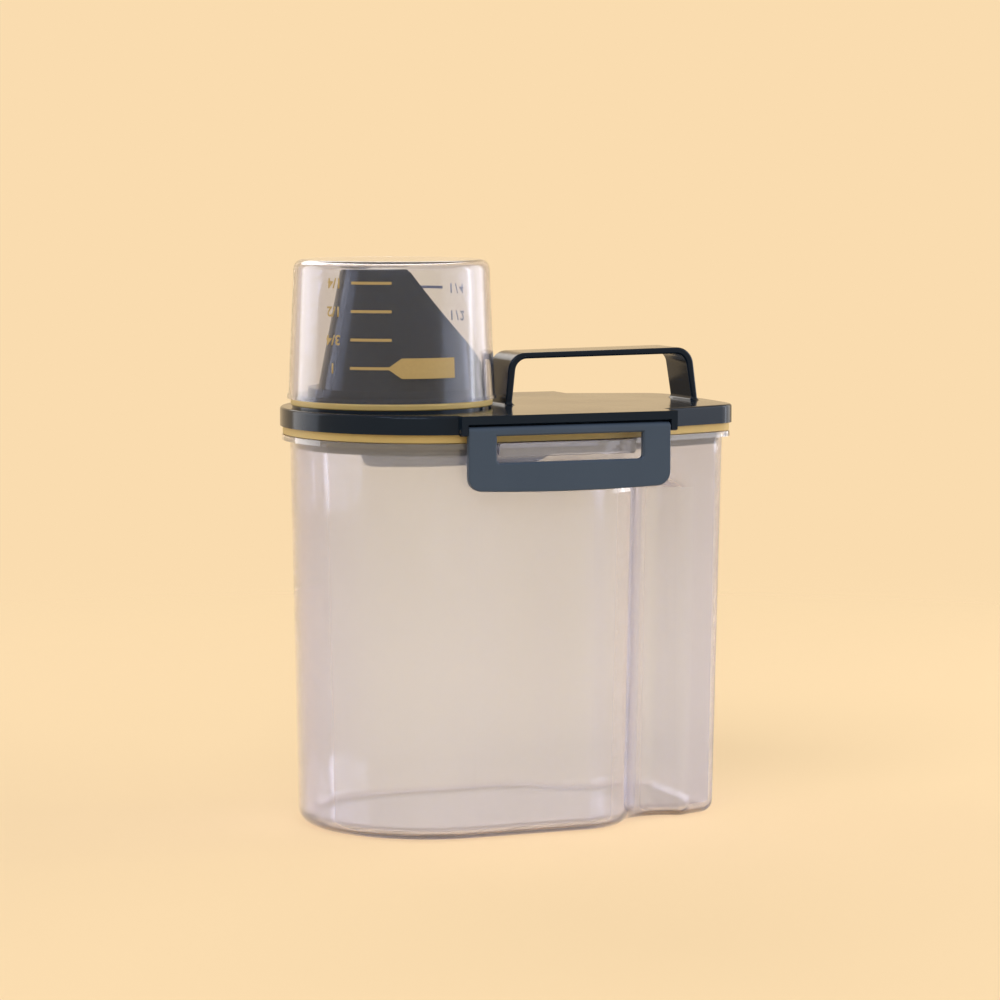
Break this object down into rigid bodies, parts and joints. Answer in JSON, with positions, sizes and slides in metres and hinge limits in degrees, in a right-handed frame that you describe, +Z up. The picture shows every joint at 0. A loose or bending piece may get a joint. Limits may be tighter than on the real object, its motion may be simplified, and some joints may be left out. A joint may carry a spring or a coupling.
{
  "type": "dry food storage container",
  "caption": "Clear oval food storage bin with a hinged-latch lid, fixed carrying handle, covered pour spout and an inverted measuring cup.",
  "frame": {"origin": "centre of the outer box in plan, on the surface the bin stands on", "axes": "+Z up; -X towards the pour spout and cup, +X towards the handle end; -Y towards the front latch"},
  "size_m": [0.196, 0.135, 0.245],
  "materials": {
    "clear_plastic": "clear gloss",
    "cup_plastic": "clear gloss with printed marks",
    "slate_plastic": "satin gloss",
    "seal_silicone": "satin",
    "pin_steel": "bright"
  },
  "bodies": {
    "bin": {"bin_shell": "clear_plastic", "front_catch": "clear_plastic", "rear_catch": "clear_plastic"},
    "lid": {"lid_cover": "slate_plastic", "lid_gasket": "seal_silicone", "pour_spout": "slate_plastic", "spout_seal": "seal_silicone", "front_hinge_pin": "pin_steel", "rear_hinge_pin": "pin_steel"},
    "cup": {"measuring_cup": "cup_plastic"},
    "front_latch": {"front_latch": "slate_plastic"},
    "rear_latch": {"rear_latch": "slate_plastic"}
  },
  "joints": [
    {"name": "lid_lift", "type": "slide", "parent": "bin", "child": "lid", "axis": [0, 0, 1], "range_m": [0, 0.03]},
    {"name": "cup_lift", "type": "slide", "parent": "lid", "child": "cup", "axis": [0, 0, 1], "range_m": [0, 0.065]},
    {"name": "front_latch_hinge", "type": "hinge", "parent": "lid", "child": "front_latch", "pos_m": [0.0048, -0.0655, 0.1747], "axis": [-1, 0, 0], "range_deg": [0, 105]},
    {"name": "rear_latch_hinge", "type": "hinge", "parent": "lid", "child": "rear_latch", "pos_m": [0.0048, 0.0655, 0.1747], "axis": [1, 0, 0], "range_deg": [0, 105]}
  ],
  "couplings": [
    {"joint": "front_latch_hinge", "follows": "lid_lift", "rad_per_m": 61.08},
    {"joint": "rear_latch_hinge", "follows": "lid_lift", "rad_per_m": 61.08}
  ]
}
